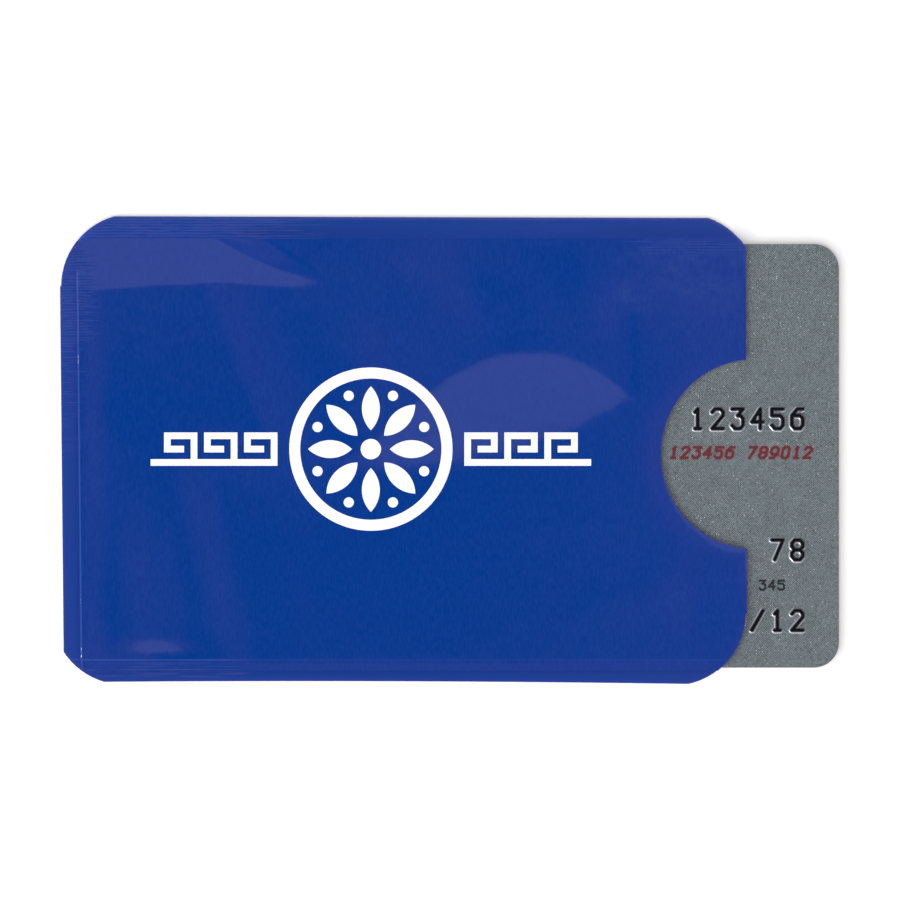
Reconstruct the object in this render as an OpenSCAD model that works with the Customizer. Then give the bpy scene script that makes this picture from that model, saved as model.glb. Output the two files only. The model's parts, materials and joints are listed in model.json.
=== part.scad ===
// Foil card sleeve with a bank-size card part way out of its mouth.
// The sleeve lies flat with its back face on z = 0 and its open mouth towards +X.
// All sizes are in millimetres.

/* [Card] */
// Length of the card
card_length = 85.6; // [80:0.1:86]
// Width of the card
card_width = 53.98; // [45:0.01:60]
// Corner radius of the card
card_corner_r = 3.18; // [2.5:0.01:5]
// Thickness of each clear overlay film of the card
overlay_t = 0.05; // [0.04:0.01:0.1]
// Thickness of each printed core sheet of the card
core_t = 0.18; // [0.1:0.01:0.3]
// Thickness of the inlay sheet that holds the antenna
inlay_t = 0.3; // [0.28:0.01:0.4]
// How far the card sticks out of the mouth
card_reach = 11.8; // [9:0.1:25]

/* [Card marks] */
// Height of the embossed numbers above the card
emboss_h = 0.46; // [0.3:0.01:0.55]
// Distance from one embossed character to the next
emboss_pitch = 2.54; // [2.3:0.01:3]
// Height of an embossed character between the centre lines of its strokes
digit_height = 2.5; // [2:0.05:3]
// Width of an embossed character between the centre lines of its strokes
digit_width = 1.4; // [1:0.05:1.6]
// Width of an embossed stroke
digit_stroke = 0.45; // [0.3:0.01:0.5]
// Distance from the card's outer end to the centre of the last embossed column
last_column_inset = 5.4; // [4:0.1:8]
// Height of the long number above the card's lower edge
number_row_y = 31.7; // [29:0.1:38]
// Height of the red number above the card's lower edge
red_row_y = 27.4; // [24:0.1:28]
// Height of the short number above the card's lower edge
pair_row_y = 15; // [13:0.1:18]
// Height of the small dark number above the card's lower edge
small_row_y = 10.5; // [9.5:0.1:11]
// Height of the date number above the card's lower edge
date_row_y = 6; // [4.5:0.1:7]
// Height of a red character between the centre lines of its strokes
red_height = 1.34; // [1:0.01:1.6]
// Width of a red character between the centre lines of its strokes
red_width = 0.82; // [0.6:0.01:1]
// Width of a red stroke
red_stroke = 0.36; // [0.2:0.01:0.4]
// Distance from one red character to the next
red_pitch = 1.42; // [1.4:0.01:1.6]
// Angle at which the red characters lean
red_lean = 12; // [0:1:20]
// Distance from the card's outer end to the centre line of the last red character's right side
red_inset = 3.4; // [3:0.1:5]
// Height of a small dark character between the centre lines of its strokes
small_height = 1.15; // [0.8:0.01:1.2]
// Width of a small dark character between the centre lines of its strokes
small_width = 0.7; // [0.5:0.01:0.8]
// Width of a small dark stroke
small_stroke = 0.26; // [0.15:0.01:0.3]
// Distance from one small dark character to the next
small_pitch = 1.2; // [1.1:0.01:1.4]
// Distance from the card's outer end to the centre line of the last small dark character's right side
small_inset = 7; // [6:0.1:9]
// Thickness of printed ink
ink_t = 0.02; // [0.01:0.01:0.04]

/* [Card parts inside and behind] */
// Number of turns of the antenna
antenna_turns = 4; // [2:1:6]
// Width of an antenna track
track_w = 0.5; // [0.3:0.05:0.6]
// Distance from one antenna track to the next
track_pitch = 1.1; // [1:0.1:1.5]
// Thickness of the antenna tracks
track_t = 0.06; // [0.03:0.01:0.08]
// Length of the antenna loop along the card
antenna_length = 76; // [60:1:78]
// Width of the antenna loop across the card
antenna_width = 18; // [14:1:19]
// Distance from the card's upper edge to the outermost track
antenna_inset = 3; // [2:0.5:4]
// Side of the square chip
chip_side = 5; // [3:0.5:7]
// Thickness of the chip
chip_t = 0.18; // [0.1:0.01:0.19]
// Width of the magnetic stripe
stripe_w = 12.7; // [6:0.1:15]
// Distance from the card's upper edge to the magnetic stripe
stripe_inset = 4; // [3:0.1:6]
// Depth of the magnetic stripe and of the signature panel in the back overlay
stripe_t = 0.02; // [0.01:0.01:0.03]
// Length of the signature panel
signature_length = 60; // [30:1:70]
// Width of the signature panel
signature_w = 8; // [5:0.5:10]
// Distance from the magnetic stripe to the signature panel
signature_gap = 4; // [2:0.5:8]

/* [Sleeve] */
// Length of the sleeve from its closed end to its mouth
sleeve_length = 87.3; // [86:0.1:95]
// How much wider the pocket is than the card
pocket_slack = 0.82; // [0.6:0.01:2]
// Gap between the card's lower edge and the pocket's lower wall
card_low_gap = 0.24; // [0.1:0.01:0.5]
// Width of the heat seal along the upper side
top_seal_w = 2.87; // [2:0.01:5]
// Width of the heat seal along the lower side
bottom_seal_w = 1.5; // [1.2:0.1:4]
// Width of the heat seal at the closed end
end_seal_w = 2.4; // [1.6:0.1:4]
// How far the closed end leans out from its lower to its upper corner
end_skew = 0.59; // [0:0.01:1]
// How far the mouth leans in from its lower to its upper corner
mouth_skew = 0.17; // [0:0.01:1]
// How far the upper edge falls from the closed end to the mouth
high_skew = 0.25; // [0:0.01:1]
// How far the lower edge bends down at the mouth
low_bow = 0.48; // [0:0.01:1]
// How far behind the sleeve's middle the lower edge starts to bend down both ways
bow_back = 13; // [0:1:30]

/* [Laminate] */
// Thickness of the glossy printed film
film_t = 0.06; // [0.04:0.01:0.1]
// Thickness of the shielding foil
foil_t = 0.02; // [0.02:0.01:0.05]
// Thickness of the inner liner
liner_t = 0.08; // [0.05:0.01:0.12]
// Thickness of the melted seal between the two liners
seal_t = 0.04; // [0.02:0.01:0.08]

/* [Pocket shape] */
// Gap under the card
card_float = 0.03; // [0.01:0.01:0.1]
// Gap over the embossed numbers
emboss_gap = 0.15; // [0.1:0.01:0.4]
// Gap over the card's flat face at the pocket's upright walls
wall_gap = 0.12; // [0.05:0.01:0.3]
// Width of the sloping ridge along the lower side
bottom_ridge_w = 1.4; // [1:0.1:2.5]
// Width of the sloping ridge along the upper side
top_ridge_w = 2.4; // [1:0.1:4]
// Width of the sloping ridge at the closed end
end_ridge_w = 3; // [1.5:0.1:6]
// How much tighter the pocket's closed corners are than the card's corners
pocket_corner_ease = 0.18; // [0.1:0.01:1]

/* [Cut-outs] */
// Radius of the punch that rounds the four corners
corner_r = 9.25; // [8:0.05:9.6]
// Mean distance from a corner punch's centre to the sleeve's end
corner_end_inset = 8.59; // [8:0.01:9]
// How far the upper punches stand towards the mouth, and the lower ones away from it
corner_shift = 0.8; // [0:0.1:1]
// Distance from the upper punches' centres to the upper edge
corner_top_inset = 8.76; // [8:0.01:9.5]
// Distance from the lower punches' centres to the lower edge
corner_bottom_inset = 9.01; // [8:0.01:9.5]
// How much lower than these insets say the punches at the closed end stand
closed_punch_drop = 0.15; // [0:0.01:0.3]
// Radius of the thumb notch
notch_r = 12.1; // [8:0.1:15]
// How far the notch's centre lies outside the mouth
notch_overhang = 1.2; // [0:0.1:4]
// How far the notch's centre lies below the sleeve's middle
notch_drop = 0.65; // [-3:0.05:3]

/* [Printed ornament] */
// Radius of the ornament's outer ring
ring_r = 10.4; // [8:0.1:12]
// Width of the ornament's outer ring
ring_w = 1.4; // [0.5:0.1:2]
// Number of petals in the rosette
petal_count = 8; // [6:1:12]
// Distance from the middle of the rosette to the root of a petal
petal_root = 2.4; // [2:0.1:3]
// Gap between a petal's tip and the ring
petal_tip_gap = 1; // [0.5:0.1:2]
// Radius of the two arcs that make a petal
petal_arc_r = 4; // [3.8:0.1:6]
// Radius of the rosette's middle dot
dot_r = 1.3; // [0.5:0.1:1.5]
// Radius of the beads between the petals' tips
bead_r = 0.65; // [0.3:0.05:0.7]
// Width of the lines in the key bands
key_stroke = 0.85; // [0.5:0.05:1]
// Number of key hooks in each band
key_count = 3; // [1:1:3]
// Gap between the ring and each key band
key_gap = 1.5; // [1:0.1:3]
// How far the ornament's middle lies behind the sleeve's middle
ornament_back = 4.2; // [2:0.1:6]

/* [Hidden] */
$fn = 96;

// Cutters run past what they cut by this much
past = 1;
// Number of straight pieces that make the lower edge's bend
bow_steps = 12;

// Laminate and pocket heights
wall_t = film_t + foil_t + liner_t;
flange_z = wall_t + seal_t;
card_t = 2 * overlay_t + 2 * core_t + inlay_t;
wall_h = card_float + card_t + wall_gap;
pocket_h = card_float + card_t + emboss_h + emboss_gap;
plateau_z = wall_t + pocket_h + wall_t;

// Plan of the sleeve and of the pocket
pocket_width = card_width + pocket_slack;
sleeve_width = bottom_seal_w + pocket_width + top_seal_w;
sleeve_low = -sleeve_width / 2;
sleeve_high = sleeve_width / 2;
pocket_low = sleeve_low + bottom_seal_w;
pocket_high = sleeve_high - top_seal_w;
pocket_end = -sleeve_length / 2 + end_seal_w;
mouth_x = sleeve_length / 2;
beyond_mouth = mouth_x + mouth_skew + past;
pocket_corner_r = card_corner_r - pocket_corner_ease;

// Place of the card at rest
card_end_x = mouth_x + card_reach;
card_start_x = card_end_x - card_length;
card_low = pocket_low + card_low_gap;
card_high = card_low + card_width;
card_z = wall_t + card_float;
back_core_z = card_z + overlay_t;
inlay_z = back_core_z + core_t;
front_core_z = inlay_z + inlay_t;
front_overlay_z = front_core_z + core_t;
card_top_z = front_overlay_z + overlay_t;
last_column_x = card_end_x - last_column_inset;

// Place of the antenna, measured to the centre lines of its outermost tracks
antenna_low = card_high - antenna_inset - antenna_width;
antenna_start = (card_start_x + card_end_x - antenna_length) / 2;
antenna_z = front_core_z - track_t;

// The seals part where the pocket's rounded corners begin
seal_split_x = pocket_end + pocket_corner_r;

ornament_x = -ornament_back;

// X of the closed end and of the mouth at height y on the sleeve
function end_edge_x(y) = -sleeve_length / 2 - end_skew * y / sleeve_width;
function mouth_edge_x(y) = sleeve_length / 2 - mouth_skew * y / sleeve_width;

// Y of the lower and of the upper edge at x along the sleeve
function low_edge_y(x) = sleeve_low - low_bow * pow((x + bow_back) / (sleeve_length / 2 + bow_back), 2);
function high_edge_y(x) = sleeve_high - high_skew * x / sleeve_length;

// Characters as strokes between points of a grid that is 4 wide and 6 high
GLYPHS = [
    ["0", [[[1, 0], [0, 1], [0, 5], [1, 6], [3, 6], [4, 5], [4, 1], [3, 0], [1, 0]]]],
    ["1", [[[1, 5], [2, 6], [2, 0]], [[1, 0], [3, 0]]]],
    ["2", [[[0, 5], [1, 6], [3, 6], [4, 5], [4, 4], [0, 0], [4, 0]]]],
    ["3", [[[0, 6], [4, 6], [2, 4], [3, 4], [4, 3], [4, 1], [3, 0], [1, 0], [0, 1]]]],
    ["4", [[[3, 0], [3, 6], [0, 2], [4, 2]]]],
    ["5", [[[4, 6], [0, 6], [0, 4], [3, 4], [4, 3], [4, 1], [3, 0], [1, 0], [0, 1]]]],
    ["6", [[[4, 6], [2, 6], [0, 4], [0, 1], [1, 0], [3, 0], [4, 1], [4, 3], [3, 4], [0, 4]]]],
    ["7", [[[0, 6], [4, 6], [1, 0]]]],
    ["8", [[[1, 3], [0, 4], [0, 5], [1, 6], [3, 6], [4, 5], [4, 4], [3, 3], [4, 2], [4, 1],
            [3, 0], [1, 0], [0, 1], [0, 2], [1, 3], [3, 3]]]],
    ["9", [[[0, 0], [2, 0], [4, 2], [4, 5], [3, 6], [1, 6], [0, 5], [0, 3], [1, 2], [4, 2]]]],
    ["/", [[[0, 0], [4, 6]]]]
];
function strokes_of(character) = [for (glyph = GLYPHS) if (glyph[0] == character) glyph[1]][0];

// A straight stroke with square ends that reach half a width past both points
module stroke(from, to, width) {
    run = to - from;
    translate((from + to) / 2)
        rotate(atan2(run.y, run.x))
            square([norm(run) + width, width], center = true);
}

// A line of strokes through the points
module stroke_line(points, width) {
    for (i = [1:len(points) - 1])
        stroke(points[i - 1], points[i], width);
}

// What a rounding cut takes off a corner at the origin of a sheet towards +X and +Y: all that lies
// short of the centre of the cut's circle, less the disc of radius r there
module corner_offcut(centre, r) {
    difference() {
        translate([-past, -past])
            square(centre + [past, past]);
        translate(centre)
            circle(r);
    }
}

// Places a corner's offcut, turned to face in, at one corner of a sheet
module at_corner(corner, from_right, from_top) {
    translate(corner)
        mirror([from_right ? 1 : 0, 0])
            mirror([0, from_top ? 1 : 0])
                children();
}

// Outline of both panels, with rounded corners and the thumb notch
module sleeve_outline() {
    near = corner_end_inset - corner_shift;
    far = corner_end_inset + corner_shift;
    top_y = sleeve_high - corner_top_inset;
    bottom_y = sleeve_low + corner_bottom_inset;
    low_start_x = end_edge_x(sleeve_low);
    low_run = mouth_edge_x(sleeve_low) - low_start_x;
    closed_low_y = low_edge_y(end_edge_x(bottom_y) + near) - closed_punch_drop;
    mouth_low_y = low_edge_y(mouth_edge_x(bottom_y) - far);
    closed_high_y = high_edge_y(end_edge_x(top_y) + far) - closed_punch_drop;
    mouth_high_y = high_edge_y(mouth_edge_x(top_y) - near);
    difference() {
        polygon(concat(
            [for (i = [0:bow_steps]) let (x = low_start_x + low_run * i / bow_steps) [x, low_edge_y(x)]],
            [
                [mouth_edge_x(sleeve_high), high_edge_y(sleeve_length / 2)],
                [end_edge_x(sleeve_high), high_edge_y(-sleeve_length / 2)]
            ]
        ));
        at_corner([end_edge_x(bottom_y), closed_low_y], false, false)
            corner_offcut([near, corner_bottom_inset], corner_r);
        at_corner([mouth_edge_x(bottom_y), mouth_low_y], true, false)
            corner_offcut([far, corner_bottom_inset], corner_r);
        at_corner([end_edge_x(top_y), closed_high_y], false, true)
            corner_offcut([far, corner_top_inset], corner_r);
        at_corner([mouth_edge_x(top_y), mouth_high_y], true, true)
            corner_offcut([near, corner_top_inset], corner_r);
        translate([mouth_edge_x(-notch_drop) + notch_overhang, -notch_drop])
            circle(notch_r);
    }
}

// Flat sheet of the sleeve's outline from height z
module sheet(z, thickness) {
    translate([0, 0, z])
        linear_extrude(thickness)
            sleeve_outline();
}

// Plan of the pocket, grown by t, open past the mouth, with its closed corners rounded
module pocket_plan(t) {
    r = pocket_corner_r + t;
    difference() {
        translate([pocket_end - t, pocket_low - t])
            square([beyond_mouth - pocket_end + t, pocket_width + 2 * t]);
        at_corner([pocket_end - t, pocket_low - t], false, false)
            corner_offcut([r, r], r);
        at_corner([pocket_end - t, pocket_high + t], false, true)
            corner_offcut([r, r], r);
    }
}

// Half of the pocket's cross-section from its upright wall to the crest of the ridge, grown by t, as
// points [distance into the pocket, height]. The wall is upright and the ridge slopes up to the plateau.
function ridge_points(ridge_w, t) =
    let (slope = atan2(pocket_h - wall_h, ridge_w))
    [
        [-t, 0],
        [-t, wall_h + t * (1 / cos(slope) - tan(slope))],
        [ridge_w - t * (1 / cos(slope) - 1) / tan(slope), pocket_h + t]
    ];

// Pocket's space, grown by t on every side but its floor
module pocket_space(t) {
    low = ridge_points(bottom_ridge_w, t);
    high = ridge_points(top_ridge_w, t);
    closed = ridge_points(end_ridge_w, t);
    length = beyond_mouth - pocket_end + t;
    translate([0, 0, wall_t])
        intersection() {
            linear_extrude(pocket_h + t)
                pocket_plan(t);
            translate([pocket_end - t, 0, 0])
                rotate([90, 0, 90])
                    linear_extrude(length)
                        polygon(concat(
                            [for (p = low) [pocket_low + p.x, p.y]],
                            [for (i = [2:-1:0]) [pocket_high - high[i].x, high[i].y]]
                        ));
            translate([0, pocket_high + t, 0])
                rotate([90, 0, 0])
                    linear_extrude(pocket_width + 2 * t)
                        polygon(concat(
                            [for (p = closed) [pocket_end + p.x, p.y]],
                            [[beyond_mouth, pocket_h + t], [beyond_mouth, 0]]
                        ));
        }
}

// One layer of the front panel, from inner to outer, both measured out from the pocket
module front_layer(inner, outer) {
    intersection() {
        sheet(wall_t, pocket_h + outer);
        difference() {
            union() {
                pocket_space(outer);
                sheet(flange_z, outer);
            }
            pocket_space(inner);
            sheet(0, flange_z + inner);
        }
    }
}

// Melted band between the two liners, outside the pocket
module seal_band() {
    difference() {
        sheet(wall_t, seal_t);
        translate([0, 0, wall_t - past])
            linear_extrude(seal_t + 2 * past)
                pocket_plan(0);
    }
}

module back_print_film() {
    color("royalblue")
        sheet(0, film_t);
}

module back_shield_foil() {
    color("silver")
        sheet(film_t, foil_t);
}

module back_inner_liner() {
    color("gainsboro")
        sheet(film_t + foil_t, liner_t);
}

module end_seal() {
    color("lightsteelblue")
        intersection() {
            seal_band();
            translate([-sleeve_length, -sleeve_width, 0])
                cube([sleeve_length + seal_split_x, 2 * sleeve_width, plateau_z]);
        }
}

module side_seal(low_y) {
    intersection() {
        seal_band();
        translate([seal_split_x, low_y, 0])
            cube([2 * sleeve_length, sleeve_width, plateau_z]);
    }
}

module top_seal() {
    color("lightsteelblue")
        side_seal(0);
}

module bottom_seal() {
    color("lightsteelblue")
        side_seal(-sleeve_width);
}

module front_inner_liner() {
    color("gainsboro")
        front_layer(0, liner_t);
}

module front_shield_foil() {
    color("silver")
        front_layer(liner_t, liner_t + foil_t);
}

module front_print_film() {
    color("mediumblue")
        front_layer(liner_t + foil_t, wall_t);
}

petal_tip = ring_r - ring_w - petal_tip_gap;

// Pointed petal along +X, the overlap of two discs
module petal() {
    half = (petal_tip - petal_root) / 2;
    drop = sqrt(petal_arc_r * petal_arc_r - half * half);
    intersection() {
        translate([petal_root + half, drop])
            circle(petal_arc_r);
        translate([petal_root + half, -drop])
            circle(petal_arc_r);
    }
}

module front_rosette_print() {
    color("white")
        translate([ornament_x, 0, plateau_z])
            linear_extrude(ink_t) {
                difference() {
                    circle(ring_r);
                    circle(ring_r - ring_w);
                }
                circle(dot_r);
                for (i = [0:petal_count - 1]) {
                    rotate(360 * i / petal_count)
                        petal();
                    rotate(360 * (i + 0.5) / petal_count)
                        translate([petal_tip - bead_r, 0])
                            circle(bead_r);
                }
            }
}

// Key band that starts at the origin and runs along +X, with its base line below
module key_band() {
    step = 2 * key_stroke;
    for (i = [0:key_count - 1])
        translate([3 * step * i + key_stroke / 2, -step])
            stroke_line([
                [3 * step, 0],
                [0, 0],
                [0, 2 * step],
                [2 * step, 2 * step],
                [2 * step, step],
                [step, step]
            ], key_stroke);
}

module front_key_bands_print() {
    color("white")
        translate([ornament_x, 0, plateau_z])
            linear_extrude(ink_t)
                for (side = [0, 1])
                    mirror([side, 0])
                        translate([ring_r + key_gap, 0])
                            key_band();
}

// Sheet of the card's outline from height z
module card_sheet(z, thickness) {
    translate([0, 0, z])
        linear_extrude(thickness)
            difference() {
                translate([card_start_x, card_low])
                    square([card_length, card_width]);
                for (right = [false, true], top = [false, true])
                    at_corner([right ? card_end_x : card_start_x, top ? card_high : card_low], right, top)
                        corner_offcut([card_corner_r, card_corner_r], card_corner_r);
            }
}

// Magnetic stripe, also used to recess the back overlay
module stripe_block() {
    translate([card_start_x, card_high - stripe_inset - stripe_w, card_z])
        cube([card_length, stripe_w, stripe_t]);
}

// Signature panel, also used to recess the back overlay
module signature_block() {
    translate([
        (card_start_x + card_end_x - signature_length) / 2,
        card_high - stripe_inset - stripe_w - signature_gap - signature_w,
        card_z
    ])
        cube([signature_length, signature_w, stripe_t]);
}

module card_back_overlay() {
    color("lightgray")
        difference() {
            card_sheet(card_z, overlay_t);
            stripe_block();
            signature_block();
        }
}

module magnetic_stripe() {
    color("black")
        stripe_block();
}

module signature_panel() {
    color("white")
        signature_block();
}

module card_back_core() {
    color("darkgray")
        card_sheet(back_core_z, core_t);
}

// Centre line of the antenna's track, from its outer end to its inner end
antenna_points = concat(
    [[0, 0]],
    [for (i = [0:antenna_turns - 1], corner = [0:3])
        let (
            o = i * track_pitch,
            across = corner < 2 ? antenna_length - o : o,
            up = corner == 0 ? o : (corner < 3 ? antenna_width - o : o + track_pitch)
        )
        [across, up]
    ]
);

module antenna_coil() {
    color("peru")
        translate([antenna_start, antenna_low, antenna_z])
            linear_extrude(track_t)
                stroke_line(antenna_points, track_w);
}

// Chip under the antenna's lower left corner, where both of its ends lie
module chip_block() {
    translate([antenna_start - track_w, antenna_low - track_w, antenna_z - chip_t])
        cube([chip_side, chip_side, chip_t]);
}

module rfid_chip() {
    color("dimgray")
        chip_block();
}

// Inlay sheet with a channel for the antenna's tracks and a seat for the chip
module card_inlay() {
    island_inset = antenna_turns * track_pitch + track_w;
    color("whitesmoke")
        difference() {
            card_sheet(inlay_z, inlay_t);
            translate([antenna_start, antenna_low, antenna_z])
                linear_extrude(track_t + past)
                    difference() {
                        translate([-track_w, -track_w])
                            square([antenna_length + 2 * track_w, antenna_width + 2 * track_w]);
                        translate([island_inset, island_inset])
                            square([antenna_length - 2 * island_inset, antenna_width - 2 * island_inset]);
                    }
            chip_block();
        }
}

module card_front_core() {
    color("darkgray")
        card_sheet(front_core_z, core_t);
}

module card_front_overlay() {
    color("slategray")
        card_sheet(front_overlay_z, overlay_t);
}

// Row of characters on the card that ends at end_x and whose middle lies at height y above the card's
// lower edge, drawn with strokes and raised by a height. Size is a character's width and height between
// the centre lines of its strokes, and lean is how far its top lies to the right of its foot.
module character_row(characters, end_x, y, size, pitch, stroke_w, lean, raised) {
    count = len(characters);
    for (i = [0:count - 1])
        if (characters[i] != " ")
            translate([
                end_x - (count - 1 - i) * pitch - size.x - lean,
                card_low + y - size.y / 2,
                card_top_z
            ])
                linear_extrude(raised)
                    for (line = strokes_of(characters[i]))
                        stroke_line(
                            [for (p = line) [p.x * size.x / 4 + p.y * lean / 6, p.y * size.y / 6]],
                            stroke_w
                        );
}

// Row of embossed characters that ends at the last column, at height y above the card's lower edge
module embossed_row(characters, y) {
    character_row(
        characters, last_column_x + digit_width / 2, y,
        [digit_width, digit_height], emboss_pitch, digit_stroke, 0, emboss_h
    );
}

module embossed_number_row() {
    color("black")
        embossed_row("123456", number_row_y);
}

module embossed_pair_row() {
    color("black")
        embossed_row("78", pair_row_y);
}

module embossed_date_row() {
    color("black")
        embossed_row("09/12", date_row_y);
}

module red_number_print() {
    color("firebrick")
        character_row(
            "123456 789012", card_end_x - red_inset, red_row_y,
            [red_width, red_height], red_pitch, red_stroke, red_height * tan(red_lean), ink_t
        );
}

module small_number_print() {
    color("darkslategray")
        character_row(
            "12 345", card_end_x - small_inset, small_row_y,
            [small_width, small_height], small_pitch, small_stroke, 0, ink_t
        );
}

back_print_film();
back_shield_foil();
back_inner_liner();
top_seal();
bottom_seal();
end_seal();
front_inner_liner();
front_shield_foil();
front_print_film();
front_rosette_print();
front_key_bands_print();
card_back_overlay();
card_back_core();
card_inlay();
card_front_core();
card_front_overlay();
antenna_coil();
rfid_chip();
magnetic_stripe();
signature_panel();
embossed_number_row();
embossed_pair_row();
embossed_date_row();
red_number_print();
small_number_print();
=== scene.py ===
"""Foil card sleeve with a card part way out of its mouth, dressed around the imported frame.

Shapes are worked out in millimetres in the frame's own axes and become metres when a mesh is made.
"""

import json
import math

import bpy
import numpy as np
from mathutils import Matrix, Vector
from mathutils.geometry import delaunay_2d_cdt


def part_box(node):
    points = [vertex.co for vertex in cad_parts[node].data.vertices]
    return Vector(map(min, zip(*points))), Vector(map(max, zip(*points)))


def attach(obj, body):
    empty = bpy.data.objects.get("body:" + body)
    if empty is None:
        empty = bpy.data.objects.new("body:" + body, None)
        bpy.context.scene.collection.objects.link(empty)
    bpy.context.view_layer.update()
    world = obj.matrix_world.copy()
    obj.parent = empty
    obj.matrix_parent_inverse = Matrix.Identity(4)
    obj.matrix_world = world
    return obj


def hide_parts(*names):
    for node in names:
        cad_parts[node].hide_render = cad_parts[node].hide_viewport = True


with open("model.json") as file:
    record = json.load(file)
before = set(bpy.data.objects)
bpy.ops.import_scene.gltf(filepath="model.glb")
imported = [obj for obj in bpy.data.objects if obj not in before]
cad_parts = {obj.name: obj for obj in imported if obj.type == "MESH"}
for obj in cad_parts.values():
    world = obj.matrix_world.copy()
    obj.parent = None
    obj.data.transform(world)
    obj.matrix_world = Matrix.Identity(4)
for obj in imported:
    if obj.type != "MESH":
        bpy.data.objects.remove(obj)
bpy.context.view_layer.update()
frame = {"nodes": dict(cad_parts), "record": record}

MM = 0.001

# The photograph looks straight down: its side and its scale, the pixel over the sleeve's middle, and how
# high the camera is taken to be
IMAGE_SIDE = 900
MM_PER_PIXEL = 0.12758
SLEEVE_MIDDLE_PIXEL = (403.9, 449.1)
CAMERA_HEIGHT = 1000.0


def photo_point(px, py):
    """Place on the sleeve, in millimetres, of a pixel of the photograph."""
    return (px - SLEEVE_MIDDLE_PIXEL[0]) * MM_PER_PIXEL, (SLEEVE_MIDDLE_PIXEL[1] - py) * MM_PER_PIXEL


def box_mm(node):
    """Lowest and highest corner of a CAD node, in millimetres."""
    low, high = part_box(node)
    return np.array(low) / MM, np.array(high) / MM


SLEEVE_LOW, SLEEVE_HIGH = box_mm("back_print_film")
CARD_LOW, CARD_HIGH = box_mm("card_front_overlay")
PLATEAU_Z = box_mm("front_print_film")[1][2]
CARD_TOP_Z = CARD_HIGH[2]
EMBOSS_TOP_Z = box_mm("embossed_number_row")[1][2]

# How deep the inner face of each layer lies below the outside of a panel, how high the front panel's
# outside lies on the seals, and how thick the ink is
FILM_DEPTH = SLEEVE_HIGH[2]
FOIL_DEPTH = box_mm("back_shield_foil")[1][2]
LINER_DEPTH = box_mm("back_inner_liner")[1][2]
FLANGE_Z = box_mm("top_seal")[1][2] + LINER_DEPTH
INK_T = box_mm("front_rosette_print")[1][2] - PLATEAU_Z

# The pocket in plan: its straight sides, its closed end and its closed corners. The CAD's end seal reaches
# round the corners, by the radius that they have there, and the crease leans and lies a little outside
CAD_CORNER_R = 3.0
POCKET_LOW = box_mm("bottom_seal")[1][1]
POCKET_HIGH = box_mm("top_seal")[0][1]
POCKET_CORNER_R = 1.2
POCKET_END = box_mm("end_seal")[1][0] - CAD_CORNER_R
END_LEAN = 0.0105
END_SHIFT = -0.08
MOUTH_X = SLEEVE_HIGH[0]
WALL_RUN = 0.01

# The thumb notch
NOTCH_X = 44.85
NOTCH_Y = -0.65
NOTCH_R = 12.1

# The seals' colour fades in over the wall, between two heights above the flanges. It is lighter than the
# film's, partly as painted light against the shade beside the pocket's walls. Just past the pocket's upper
# wall it is lightened by a share of itself that falls off at a rate to the millimetre, as painted light
# that offsets the wall's shade, and further on it is darkened by a small one
SEAL_FADE = (0.12, 0.06)
PAINTED_LIGHT_SHARE = 1.95
PAINTED_LIGHT_FALLOFF = 2.0
BY_WALL_DARK = 0.05

# Crimp ribs of the heat seals, and how much painted light and shade along them lightens and darkens the
# film's colour
RIB_PITCH = 0.36
RIB_HEIGHT = 0.005
RIB_PAINTED_SHADING = 0.05

# Relief of the film's grain and of its softest folds
GRAIN_HEIGHT = 0.0018
SOFT_FOLD_HEIGHT = 0.013

# Crease beside the lower seal, and the spots where the closed end's crease is worn: from and to y, softness
# and strength
LOW_CREASE_Y = -26.85
WORN_SPOTS = [(-26.4, -25.4, 0.2, 1.0), (10.8, 12.4, 0.4, 0.4), (-19.9, -19.3, 0.2, 0.5)]


def ease(t):
    """Smooth step from 0 to 1."""
    t = np.clip(t, 0, 1)
    return t * t * (3 - 2 * t)


def dome(x, y, middle, radii, turn, height):
    """Round-topped bump of the film, longer one way than the other, turned by turn degrees."""
    c, s = math.cos(math.radians(turn)), math.sin(math.radians(turn))
    u = ((x - middle[0]) * c + (y - middle[1]) * s) / radii[0]
    v = (-(x - middle[0]) * s + (y - middle[1]) * c) / radii[1]
    return height * np.exp(-(u * u + v * v) / 2)


def ramp(t, soft):
    """0 below 0 and t above it, rounded over soft."""
    return 0.5 * (t + np.sqrt(t * t + soft * soft))


# How far the film lies below the top of the CAD's
FILM_SINK = 0.02

# The valley near the closed end: where its line crosses y = 0 and how that leans, its depth at the lower
# side and what it gains towards the upper one, and its reach from the line towards either end
VALLEY_X = -17.6
VALLEY_LEAN = 0.4
VALLEY_DEPTH = 0.05
VALLEY_GAIN = 0.17
VALLEY_BACK_REACH = 18.0
VALLEY_FRONT_REACH = 9.5

# The film's other folds, by their slope or by how far they drop
FACET_SLOPE = 0.0255
LEFT_FOLD = 0.085
CORNER_BEND = 0.055
END_DROP = 0.05
RIGHT_TWIST = 0.00045
LIP_DROP = 0.06
NOTCH_DROP = 0.06
LOWER_BEND = 0.03

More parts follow.
